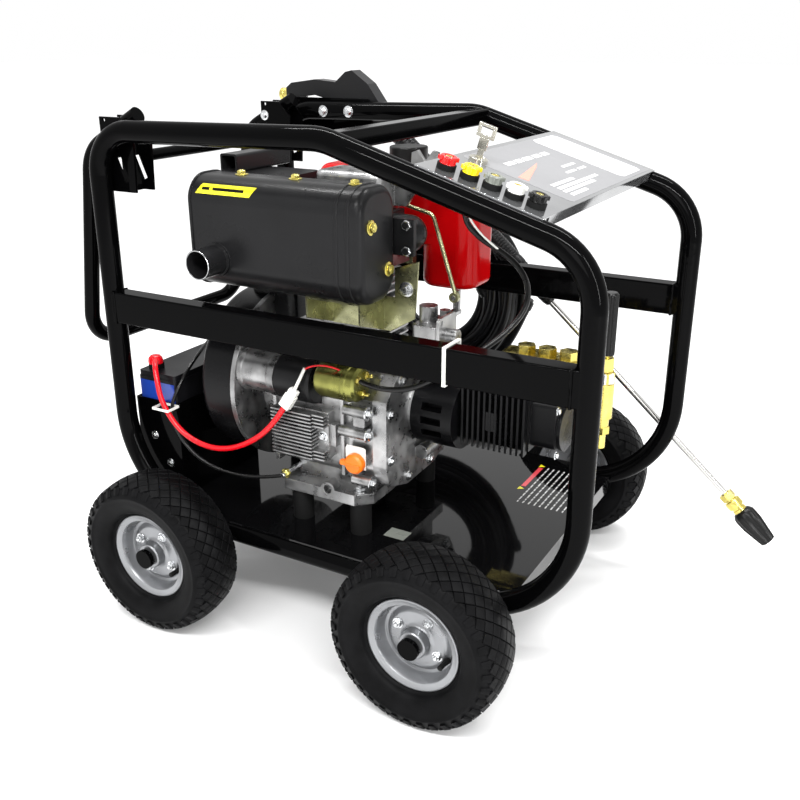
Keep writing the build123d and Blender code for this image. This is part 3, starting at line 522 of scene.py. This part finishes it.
def tyre_mesh():
    tyre = Piece("tyre", "tyre_rubber", sharp=50)
    wall = [(-23, 61), (-26, 71), (-28, 75), (-31, 76), (-34, 77), (-38, 80.5), (-42.5, 90),
            (-44.6, 99), (-44.8, 104), (-45.8, 105.5), (-45.8, 107.5), (-44.4, 109)]
    tread = []
    for s in range(-48, 49, 6):
        radius, y, out, over = crown(s)
        tread.append((y - over * 2.6, radius - out * 2.6))
    tyre.spun(wall + tread + [(-y, radius) for y, radius in reversed(wall)], 96)
    step = tau / TREAD_COUNT
    for row in range(-3, 4):
        for i in range(TREAD_COUNT):
            middle = step * (i + (0.5 if row % 2 else 0.0))
            tread_block(tyre, middle, row * 11.0, step * 0.46, 10.1)
    for side in (-1, 1):
        for i in range(TREAD_COUNT):
            shoulder_lug(tyre, step * i, side, step * 0.28)
    return tyre.mesh()


def rim_mesh():
    """Pressed rim, outer face towards +Y."""
    rim = Piece("rim", "rim_silver", sharp=35)
    rim.spun([(27, 66), (28.4, 68.4), (27.8, 70.6), (26, 71), (24.3, 69), (23.8, 62), (21, 60),
              (-21, 60), (-23.8, 62), (-24.3, 69), (-26, 71), (-27.8, 70.6), (-28.4, 68.4),
              (-27, 66), (-25.5, 60), (-22, 57), (1.5, 56.6), (3.0, 50), (6.2, 45), (6.6, 24),
              (4, 20.5), (-28, 20), (-28, 10.6), (28.5, 10.6), (28.5, 19), (27, 20.5),
              (14, 21.4), (11.4, 24), (10.6, 27.5), (10.6, 41), (9.6, 44), (6.5, 46.5),
              (4.6, 50), (5.2, 54.5), (9, 56.8), (20, 57.4), (25.2, 60.5)], 72)
    return rim.mesh()


def rim_bolts_mesh():
    bolts = Piece("rim_bolts", "bolt_steel", sharp=30)
    for i in range(4):
        angle = tau * i / 4 + 0.5
        x, z = 35 * cos(angle), 35 * sin(angle)
        bolts.turned((x, 10.4, z), (0, 1, 0), [(0, 8.0), (1.2, 8.0)], 20)
        bolts.hexagon((x, 11.4, z), (0, 1, 0), 6.2, 4.6, angle)
        bolts.turned((x, 14, z), (0, 1, 0), [(0, 3.2), (4.5, 3.2), (5.0, 2.6)], 16)
    return bolts.mesh()


def valve_mesh():
    valve = Piece("valve", "mount_rubber", sharp=35)
    valve.turned((-44, 2, -22), (0.05, 1, 0.02), [(0, 5.5), (9, 4.4), (16, 3.4), (17, 3.8),
                                                 (25, 3.8), (26, 3.2)], 16)
    return valve.mesh()


def show_mesh(mesh, name, body, at, turn=0.0):
    piece = add_to_scene(bpy.data.objects.new(name, mesh))
    piece.matrix_world = Matrix.Translation(place(*at)) @ Matrix.Rotation(turn, 4, "Z")
    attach(piece, body)
    return piece


def make_wheels():
    tyre, rim, bolts, valve = tyre_mesh(), rim_mesh(), rim_bolts_mesh(), valve_mesh()
    for name, (x, side) in WHEELS.items():
        at, turn = (x, side * WHEEL_Y, WHEEL_R), 0.0 if side > 0 else pi
        body = "wheel_" + name
        shown = show_mesh(tyre, "look_tyre_" + name, body, at, turn)
        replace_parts(shown, "tyre_" + name)
        shown = show_mesh(rim, "look_rim_" + name, body, at, turn)
        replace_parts(shown, "rim_" + name)
        show_mesh(bolts, "rim_bolts_" + name, body, at, turn)
        show_mesh(valve, "valve_" + name, body, at, turn)


# ---- printed areas ------------------------------------------------------------------------
# The panel lies on the side tubes, which fall towards the pump from PANEL_START on.
PANEL_SLOPE, PANEL_START, PANEL_TOP, PANEL_LIFT = 0.306, 16.6, 776, 18.5
TILT = atan(PANEL_SLOPE)
PANEL_UP = Vector((sin(TILT), 0, cos(TILT)))
INK = 0.2
TRAY_TOP = 167.0


def on_panel(x, y, height=0.0):
    """Point above the control panel's face; x runs along the side tube."""
    lift = PANEL_LIFT + height
    tube = PANEL_TOP - PANEL_SLOPE * (x - PANEL_START)
    return x + lift * sin(TILT), y, tube + lift * cos(TILT)


def panel_patch(piece, x0, x1, y0, y1, height=0.3, corner=0.0):
    """Thin patch lying on the panel, with cut corners."""
    c = corner
    outline = [(x0 + c, y0), (x1 - c, y0), (x1, y0 + c), (x1, y1 - c), (x1 - c, y1), (x0 + c, y1),
               (x0, y1 - c), (x0, y0 + c)]
    if not c:
        outline = [(x0, y0), (x1, y0), (x1, y1), (x0, y1)]
    piece.prism([on_panel(x, y, height) for x, y in outline], PANEL_UP * INK)


# Rows of plain marks on the panel: middle in X, width, and the two ends in Y.
PANEL_MARKS = [(203, 9, -78, -50), (203, 9, -44, -22), (203, 9, -16, 12), (203, 9, 20, 44),
               (203, 9, 52, 74), (244, 5, 29, 78), (259, 5, 54, 84), (259, 5, 7, 44),
               (274, 6, -88, -6), (284, 6, -89, 64), (293, 6, -92, 28), (303, 6, -91, -31)]


def make_prints():
    area = Piece("panel_print", "print_grey")
    panel_patch(area, 158, 316, -122, 226, 0.0, 4)
    area.make()
    white = Piece("panel_print_white", "print_white")
    panel_patch(white, 162, 309, 112, 204, 0.3, 7)
    for x, wide, y0, y1 in PANEL_MARKS:
        panel_patch(white, x - wide / 2, x + wide / 2, y0, y1)
    white.make()
    red = Piece("panel_print_red", "print_orange")
    red.prism([on_panel(x, y, 0.3) for x, y in ((250, -110), (236, -112), (219, -6), (228, -30))],
              PANEL_UP * INK)
    red.make()
    label = Piece("tray_label", "print_white")
    for row in range(9):
        x, y = 196 + 10 * row, 48.0
        for step in range(14):
            length = 6 + 7 * ((row * 5 + step * 3) % 4) / 3
            if y + length < 204:
                label.block((x, y, TRAY_TOP), (x + 2.4, y + length, TRAY_TOP + 0.25))
            y += length + 3
    label.make()
    small = Piece("tray_sticker", "cap_grey")
    small.block((58, -160, TRAY_TOP), (94, -132, TRAY_TOP + 0.25))
    small.make()
    bar = Piece("tray_label_bar", "print_pink")
    bar.block((180, 107, TRAY_TOP), (188, 190, TRAY_TOP + 0.3))
    bar.make()
    ends = Piece("tray_label_ends", "print_yellow")
    for y in (98, 198):
        ends.prism([(179, y - 6, TRAY_TOP), (189, y, TRAY_TOP), (179, y + 6, TRAY_TOP)],
                   (0, 0, 0.3))
    ends.make()


# ---- muffler ------------------------------------------------------------------------------
# The muffler's long edges are rounded about these centres.
MUFFLER_R = 38.0
MUFFLER_RIGHT, MUFFLER_LEFT, MUFFLER_LOW, MUFFLER_HIGH = -152, -130, 575, 668
# The sticker lies on the upper right edge, between these angles above the horizontal.
DECAL_LOW, DECAL_HIGH = 20.0, 44.5
DECAL_R, MARK_R = (38.2, 38.5), (38.5, 38.7)


def muffler_outline(x, lift):
    """Rounded outline of the muffler at one X, lifted off its skin."""
    reach = MUFFLER_R + lift
    points = []
    for y, z, start in ((MUFFLER_RIGHT, MUFFLER_HIGH, 90), (MUFFLER_RIGHT, MUFFLER_LOW, 180),
                        (MUFFLER_LEFT, MUFFLER_LOW, 270), (MUFFLER_LEFT, MUFFLER_HIGH, 0)):
        for step in range(9):
            angle = radians(start + 11.25 * step)
            points.append((x, y + reach * cos(angle), z + reach * sin(angle)))
    return points


def decal_row(share, x0, x1, radii):
    """Four corners across the sticker, at a share of its height."""
    angle = radians(DECAL_LOW + (DECAL_HIGH - DECAL_LOW) * share)
    low, high = radii
    return [(x, MUFFLER_RIGHT - r * cos(angle), MUFFLER_HIGH + r * sin(angle))
            for x, r in ((x0, low), (x1, low), (x1, high), (x0, high))]


def make_muffler():
    seams = Piece("muffler_seams", "satin_black")
    for x0, x1, lift in ((-260, -255, 2.0), (1, 7, 1.4), (20, 26, 1.4)):
        seams.rings([muffler_outline(x0, 0), muffler_outline(x0 + 1, lift),
                     muffler_outline(x1 - 1, lift), muffler_outline(x1, 0)])
    seams.make()
    decal = Piece("muffler_decal", "print_yellow")
    decal.rings([decal_row(share, -247 + 9 * share, -146 + 9 * share, DECAL_R)
                 for share in (step / 6 for step in range(7))])
    decal.make()
    mark = Piece("muffler_decal_mark", "knob_black")
    for x0, x1 in ((-236, -222), (-216, -158)):
        mark.rings([decal_row(share, x0, x1, MARK_R) for share in (0.36, 0.5, 0.64)])
    mark.make()
    lip = Piece("outlet_lip", "bolt_steel")
    lip.loop((-212, -236, 584), (0, 1, 0), 21.4, 0.7, 48)
    lip.make()


# ---- bolts --------------------------------------------------------------------------------
def make_bolts():
    zinc = Piece("muffler_bolts", "zinc_bolt", sharp=30)
    for x, y in ((-193, -143), (-94, -143), (10, -146)):
        zinc.bolt((x, y, 706), UP_Z, 7)
    for y, z in ((-163, 651), (-116, 583)):
        zinc.bolt((45, y, z), ALONG_X, 7.5)
    zinc.hexagon((-104.5, -186, 249), BACK_Y, 8, 7, 0.4)
    zinc.make()
    steel = Piece("bolts", "bolt_steel", sharp=30)
    for y in (-164, 52):
        steel.bolt((20, y, 238), UP_Z, 8)
    for x, z in ((-287, 770.8), (-232, 771.7)):
        steel.bolt((x, 219, z), BACK_Y, 7)
    for x, z in ((-360, 270), (-330, 225)):
        steel.bolt((x, -210, z), BACK_Y, 5)
    steel.bolt((62, -91, 549), BACK_Y, 8)
    for x, y, z in ((48, -185, 380), (48, -185, 345), (48, -175, 262)):
        steel.bolt((x, y, z), ALONG_X, 7.5)
    for y, z in ((-162, 300), (-162, 376), (-128, 418), (-30, 422), (44, 384), (48, 306),
                 (-107, 253), (-35, 253), (28, 272)):
        steel.bolt((74, y, z), ALONG_X, 6)
    steel.bolt((-34, -182, 326), BACK_Y, 6)
    steel.bolt((-30, -172, 306), BACK_Y, 4)
    steel.turned((-104.5, -150, 249), BACK_Y, [(0, 4.2), (49, 4.2), (50, 3.6)], 16)
    for z in (606, 644):
        steel.hexagon((62, -89, z), BACK_Y, 8, 6)
    for side in (-1, 1):
        steel.turned((-390, side * 174, 763), (0, side, 0), [(0, 4.9), (44.5, 4.9), (45, 4.4)], 20)
        steel.bolt((-390, side * 178, 763), (0, -side, 0), 6.2)
    for y, z in ((-68, 392), (-4, 392), (-68, 322), (-4, 322)):
        steel.bolt((300, y, z), ALONG_X, 4.5)
    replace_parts(steel.make(), "fasteners")


# ---- engine -------------------------------------------------------------------------------
def make_starter():
    y, z = -166.0, 408.0
    body = Piece("look_starter_body", "satin_black", sharp=30)
    body.turned((-113, y, z), ALONG_X, [(0, 32), (2, 35.6), (62, 35.6), (66, 33), (67, 20)], 48)
    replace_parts(body.make(), "starter_motor")
    nose = Piece("starter_nose", "engine_alloy", sharp=30)
    nose.turned((-187, y, z), ALONG_X, [(0, 26), (1, 32), (5, 34.6), (12, 34.8), (14, 33),
                                        (60, 33), (63, 35.4), (74, 35.4), (75, 33)], 48)
    nose.make()
    case = Piece("solenoid_case", "solenoid_gold", sharp=30)
    case.turned((-40, -176, 420), ALONG_X, [(0, 12), (1, 20), (5, 25.5), (11, 28), (52, 28),
                                            (53, 28.7), (58, 28.7), (60, 27), (70, 26.4),
                                            (74, 23), (75, 10)], 48)
    case.make()
    studs = Piece("solenoid_terminals", "brass", sharp=30)
    for dy, dz in ((-12, 10), (10, 12), (0, -14)):
        studs.hexagon((34, -176 + dy, 420 + dz), ALONG_X, 6.5, 4.5, 0.3)
        studs.turned((38, -176 + dy, 420 + dz), ALONG_X, [(0, 3), (7, 3), (8, 2.4)], 12)
    studs.make()


def square_washer(piece, low, high, centre, radius, y0, y1):
    """Square card in an X-Z plane with a round hole."""
    inner, outer = [], []
    for step in range(32):
        angle = tau * step / 32
        ca, sa = cos(angle), sin(angle)
        inner.append((centre[0] + radius * ca, centre[1] + radius * sa))
        reach = min((high[0] - centre[0] if ca > 0 else centre[0] - low[0]) / max(abs(ca), 1e-6),
                    (high[1] - centre[1] if sa > 0 else centre[1] - low[1]) / max(abs(sa), 1e-6))
        outer.append((centre[0] + reach * ca, centre[1] + reach * sa))
    rows = [[(x, y, z) for x, z in outline] for outline, y in
            ((outer, y0), (outer, y1), (inner, y1), (inner, y0))]
    piece.rings(rows, closed=True)


def make_dipstick():
    head = Piece("look_dipstick", "plug_orange", "dipstick", sharp=35)
    head.turned((22, -152, 292), BACK_Y, [(0, 7.5), (1.5, 8.9), (24, 8.9), (24.2, 14.5),
                                          (25.5, 16), (34, 16), (37.4, 13), (37.8, 6)], 40)
    head.prism([(20, -181, 287.5), (-1, -181, 288.5), (-1, -181, 295.5), (20, -181, 296.5)],
               (0, -7.4, 0))
    head.prism([(12, -189, 290.4), (35, -189, 290.4), (35, -189, 293.6), (12, -189, 293.6)],
               (0, -1.8, 0))
    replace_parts(head.make(), "oil_plug")
    card = Piece("dipstick_card", "nylon_white")
    square_washer(card, (2, 281), (38, 318), (22, 292), 9.6, -175.9, -175.3)
    card.make()


def make_engine_trim():
    ring = Piece("fan_flange", "engine_alloy", sharp=30)
    ring.turned((-195.8, -60, 370), ALONG_X, [(0, 141), (0.6, 143.4), (8.6, 143.4), (9.4, 142)], 96)
    ring.make()
    label = Piece("battery_label", "label_blue")
    label.block((-386, -205.5, 318), (-312, -205.1, 366))
    label.make()
    boot = Piece("battery_boot", "cable_red", sharp=40)
    boot.turned((-366, -186, 391), UP_Z, [(0, 12), (3, 12.6), (9, 11.5), (13, 8), (14, 4)], 24)
    boot.make()
    clamp = Piece("battery_clamp", "bolt_steel", sharp=30)
    clamp.turned((-365, -34, 391.5), UP_Z, [(0, 9), (5, 9), (6, 6)], 24)
    clamp.hexagon((-365, -34, 396), UP_Z, 6, 5)
    clamp.make()
    welds = Piece("rail_welds", "frame_black")
    seam = [(-14.5, 0), (-14.5, 25), (0, 25), (14.5, 25), (14.5, 0), (14.5, -25), (0, -25),
            (-14.5, -25)]
    for end in (-1, 1):
        for y in (-235.5, 235.5):
            welds.bar([(end * (378 if dy else 380), y + dy, 500 + dz) for dy, dz in seam], 2.2, 8,
                      closed=True)
    welds.make()


# ---- caps, keys, knobs and lance ------------------------------------------------------------
def fluted(piece, start, axis, profile, flutes, depth):
    """Turned shape whose surface carries lengthwise flutes."""
    start = Vector(start)
    axis, across, other = directions(axis)
    rows = []
    for along, radius, share in profile:
        row = []
        for step in range(flutes * 4):
            angle = tau * step / (flutes * 4)
            reach = radius - depth * share * (0.0, 0.5, 1.0, 0.5)[step % 4]
            row.append(start + axis * along + reach * (cos(angle) * across + sin(angle) * other))
        rows.append(row)
    return piece.rings(rows)


CAPS = {"red": 177.0, "yellow": 209.0, "grey": 240.0, "white": 270.0, "black": 299.0}


def make_caps():
    for name, x in CAPS.items():
        slot = "knob_black" if name == "black" else "cap_" + name
        seat = Vector(on_panel(x, -206, 7.4))
        cap = Piece("look_cap_" + name, slot, "nozzle_" + name, sharp=35)
        cap.turned(seat, -PANEL_UP, [(0, 5.8), (19, 5.8), (20, 5.2)], 24)
        fluted(cap, seat, PANEL_UP, [(0, 10.4, 0), (1, 10.8, 1), (6, 11, 1), (8.4, 11, 0.4),
                                     (9.8, 10, 0), (9.8, 6.2, 0), (7, 6, 0)], 10, 1.6)
        for turn in (0.7, 0.7 + pi):
            side = Vector((cos(turn) * cos(TILT), sin(turn), -cos(turn) * sin(TILT)))
            over = PANEL_UP.cross(side)
            middle = seat + side * 9 + PANEL_UP * 4
            cap.prism([middle - over * 3.6, middle + side * 4.4 - over * 2.4,
                       middle + side * 4.4 + over * 2.4, middle + over * 3.6], PANEL_UP * 4.6)
        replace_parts(cap.make(), "spare_nozzle_" + name)
        insert = Piece("nozzle_insert_" + name, "brass", "nozzle_" + name, sharp=35)
        insert.turned(seat + PANEL_UP * 5, PANEL_UP, [(0, 5.6), (3.4, 5.6), (4.4, 4.6), (4.4, 2.2),
                                                      (2, 2)], 20)
        insert.make()


def key_blade(piece, foot, up, wide, thick):
    """Flat key from the tip of its blade to its open bow."""
    foot, up, wide, thick = Vector(foot), Vector(up), Vector(wide), Vector(thick)

    def slab(w0, w1, h0, h1, half):
        corners = [foot + wide * w + up * h - thick * half for w, h in
                   ((w0, h0), (w1, h0), (w1, h1), (w0, h1))]
        piece.prism(corners, thick * 2 * half)

    slab(-4.3, 4.3, 0, 14, 1.1)
    slab(-2.4, -0.8, 14.0, 30, 1.5)
    slab(-6.5, 6.5, 13, 29, 1.9)
    for w0, w1, h0, h1 in ((-13, 13, 29, 33), (-13, 13, 43, 47), (-13, -8.5, 33, 43),
                           (8.5, 13, 33, 43)):
        slab(w0, w1, h0, h1, 1.7)


def make_keys():
    key = Piece("look_ignition_key", "key_nickel", "key", bevel=0.5, sharp=30)
    seat = Vector(on_panel(179, -116))
    along = Vector((cos(TILT), 0, -sin(TILT)))
    key.turned(seat - PANEL_UP * 12, PANEL_UP, [(0, 5.9), (16.4, 5.9), (17, 5.2)], 24)
    key_blade(key, seat + PANEL_UP * 3, PANEL_UP, along, (0, 1, 0))
    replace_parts(key.make(), "ignition_key")
    nut = Piece("switch_nut", "key_nickel", sharp=30)
    nut.loop(seat + PANEL_UP * 4.4, PANEL_UP, 10.6, 1.3, 40)
    nut.make()


def make_knob():
    knob = Piece("look_pressure_knob", "knob_black", "pressure_knob", sharp=40)
    fluted(knob, (336, 30, 456), UP_Z, [(0, 9.6, 0), (0.5, 11, 0), (6, 11.4, 1), (88, 11.4, 1),
                                        (92, 11.2, 0.4), (95.5, 8.6, 0)], 16, 1.5)
    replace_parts(knob.make(), "unloader_knob")
    nut = Piece("unloader_nut", "bolt_steel", sharp=30)
    nut.turned((336, 30, 411.5), UP_Z, [(0, 14.2), (1.6, 15.6), (16.4, 15.6), (18.2, 14.2)], 6)
    nut.make()


LANCE_START = Vector((-185, 272, 755))
LANCE_RUN = Vector((677, 0, -598)).normalized()


def make_lance():
    sleeve = Piece("look_lance_sleeve", "gun_black", "lance", sharp=50)
    profile = [(0, 15.5)]
    for step in range(60):
        along = 4 + 5.8 * step
        profile += [(along, 16.9), (along + 3.2, 16.9), (along + 4.0, 15.7), (along + 5.0, 15.7)]
    profile += [(356, 16.6), (366, 16.6)]
    sleeve.turned(LANCE_START, LANCE_RUN, profile, 32)
    rows = [(366, 16.2, 1), (390, 15, 1), (420, 13, 1), (445, 11, 1), (452, 9.5, 0), (455, 7, 0)]
    fluted(sleeve, LANCE_START, LANCE_RUN, rows, 14, 1.6)
    for along in range(372, 448, 9):
        radius = 16.4 - (along - 366) * 0.066
        sleeve.loop(LANCE_START + LANCE_RUN * along, LANCE_RUN, radius - 0.6, 1.1, 32)
    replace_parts(sleeve.make(), "lance_sleeve")
    inlet = Piece("gun_inlet_union", "brass", "lance", sharp=30)
    inlet.turned((-397, 272, 795), (-1, 0, 0), [(0, 12.2), (8, 12.2), (8.6, 11.2), (10.4, 11.2),
                                                (11, 12), (18.4, 12), (19.2, 11.3), (19.2, 7)], 32)
    inlet.make()
    end = LANCE_START + LANCE_RUN * 903.3
    coupler = Piece("look_coupler", "brass", "lance", sharp=30)
    coupler.turned(end, LANCE_RUN, [(0, 8), (0.8, 8), (1, 12.8), (13, 12.8), (13.8, 11.6)], 6)
    coupler.turned(end + LANCE_RUN * 13, LANCE_RUN, [(0, 9.6), (3, 9.6), (3.4, 13.4), (6, 14),
                                                     (16, 14), (18, 13), (18.4, 10.6), (22, 10.6),
                                                     (22.4, 12), (27, 12)], 40)
    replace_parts(coupler.make(), "nozzle_coupler")
    tip = Piece("look_turbo_nozzle", "knob_black", "lance", sharp=40)
    fluted(tip, end + LANCE_RUN * 40, LANCE_RUN, [(0, 12, 0), (2, 15, 0), (8, 19.4, 0.3),
                                                  (14, 20, 1), (30, 19.6, 1), (50, 16.4, 1),
                                                  (66, 13.8, 1), (69, 12.6, 0), (69, 5, 0),
                                                  (60, 4.4, 0)], 12, 2.2)
    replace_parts(tip.make(), "turbo_nozzle")


# ---- thin wires ---------------------------------------------------------------------------
WIRE_R = 1.4
WIRES = {
    "switch_wire_white": ("nylon_white", [(173, -121, 700), (173, -125, 678), (188, -122, 655),
                                          (206, -117, 638), (218, -112, 628)]),
    "starter_wire_red": ("cable_red", [(-50, -201, 438), (-38, -209, 446), (-20, -208, 452),
                                       (-2, -196, 448), (6, -190, 442)]),
}


def make_wires():
    for name, (slot, route) in WIRES.items():
        piece = spline_piece(name, route, WIRE_R, slot)
        length_of(piece)


# ---- stage --------------------------------------------------------------------------------
# Places and sizes in metres: place, target, width, height and power. The narrow strips draw the
# bright lines along the tubes.
LIGHTS = {
    "strip_front": ((0.6, -1.9, 2.6), (0, 0, 0.5), 3.0, 0.07, 100),
    "strip_right": ((2.6, -1.2, 1.5), (0, 0, 0.5), 0.08, 2.4, 50),
    "strip_top": ((-0.2, 0.5, 2.8), (0, 0, 0.5), 3.0, 0.08, 80),
    "fill": ((0.9, -2.6, 1.6), (0, 0, 0.4), 1.2, 1.2, 14),
}
FLOOR_HALF = 30


def area_light(name, at, target, width, height, power):
    data = bpy.data.lights.new(name, "AREA")
    data.energy = power
    data.shape = "RECTANGLE"
    data.size, data.size_y = width, height
    light = add_to_scene(bpy.data.objects.new(name, data))
    light.location = at
    light.rotation_euler = (Vector(target) - Vector(at)).to_track_quat("-Z", "Y").to_euler()


def make_floor():
    """Pale floor that glows a little further out, so that it meets the backdrop with no line."""
    mesh = bpy.data.meshes.new("floor")
    mesh.from_pydata([(-FLOOR_HALF, -FLOOR_HALF, 0), (FLOOR_HALF, -FLOOR_HALF, 0),
                      (FLOOR_HALF, FLOOR_HALF, 0), (-FLOOR_HALF, FLOOR_HALF, 0)],
                     [], [(0, 1, 2, 3)])
    floor = add_to_scene(bpy.data.objects.new("floor", mesh))
    finish = Finish("floor_paper", (0.8, 0.8, 0.8), 0.7, shine=0.1)
    finish.patches(0.8, 0.01)
    finish.shader.inputs["Roughness"].default_value = finish.rough
    finish.shader.inputs["Emission Color"].default_value = (1, 1, 1, 1)
    away = finish.node("ShaderNodeVectorMath")
    away.operation = "LENGTH"
    finish.link(finish.coords, away.inputs[0])
    glow = finish.spread(away.outputs["Value"], 0, 0.3, start=0.8, end=5)
    finish.link(glow, finish.shader.inputs["Emission Strength"])
    mesh.materials.append(finish.material)


def make_studio():
    world = bpy.data.worlds.new("studio")
    world.use_nodes = True
    backdrop = world.node_tree.nodes["Background"]
    backdrop.inputs["Color"].default_value = (1, 1, 1, 1)
    backdrop.inputs["Strength"].default_value = 1.0
    bpy.context.scene.world = world
    for name, light in LIGHTS.items():
        area_light(name, *light)
    view = bpy.context.scene.view_settings
    view.view_transform = "Standard"
    view.look = "None"
    view.exposure = 0.0


def main():
    make_camera()
    FINISHES.update(make_finishes())
    dress_nodes()
    make_cables()
    make_hose()
    make_wheels()
    make_prints()
    make_muffler()
    make_bolts()
    make_starter()
    make_dipstick()
    make_engine_trim()
    make_caps()
    make_keys()
    make_knob()
    make_lance()
    make_wires()
    make_floor()
    make_studio()


main()
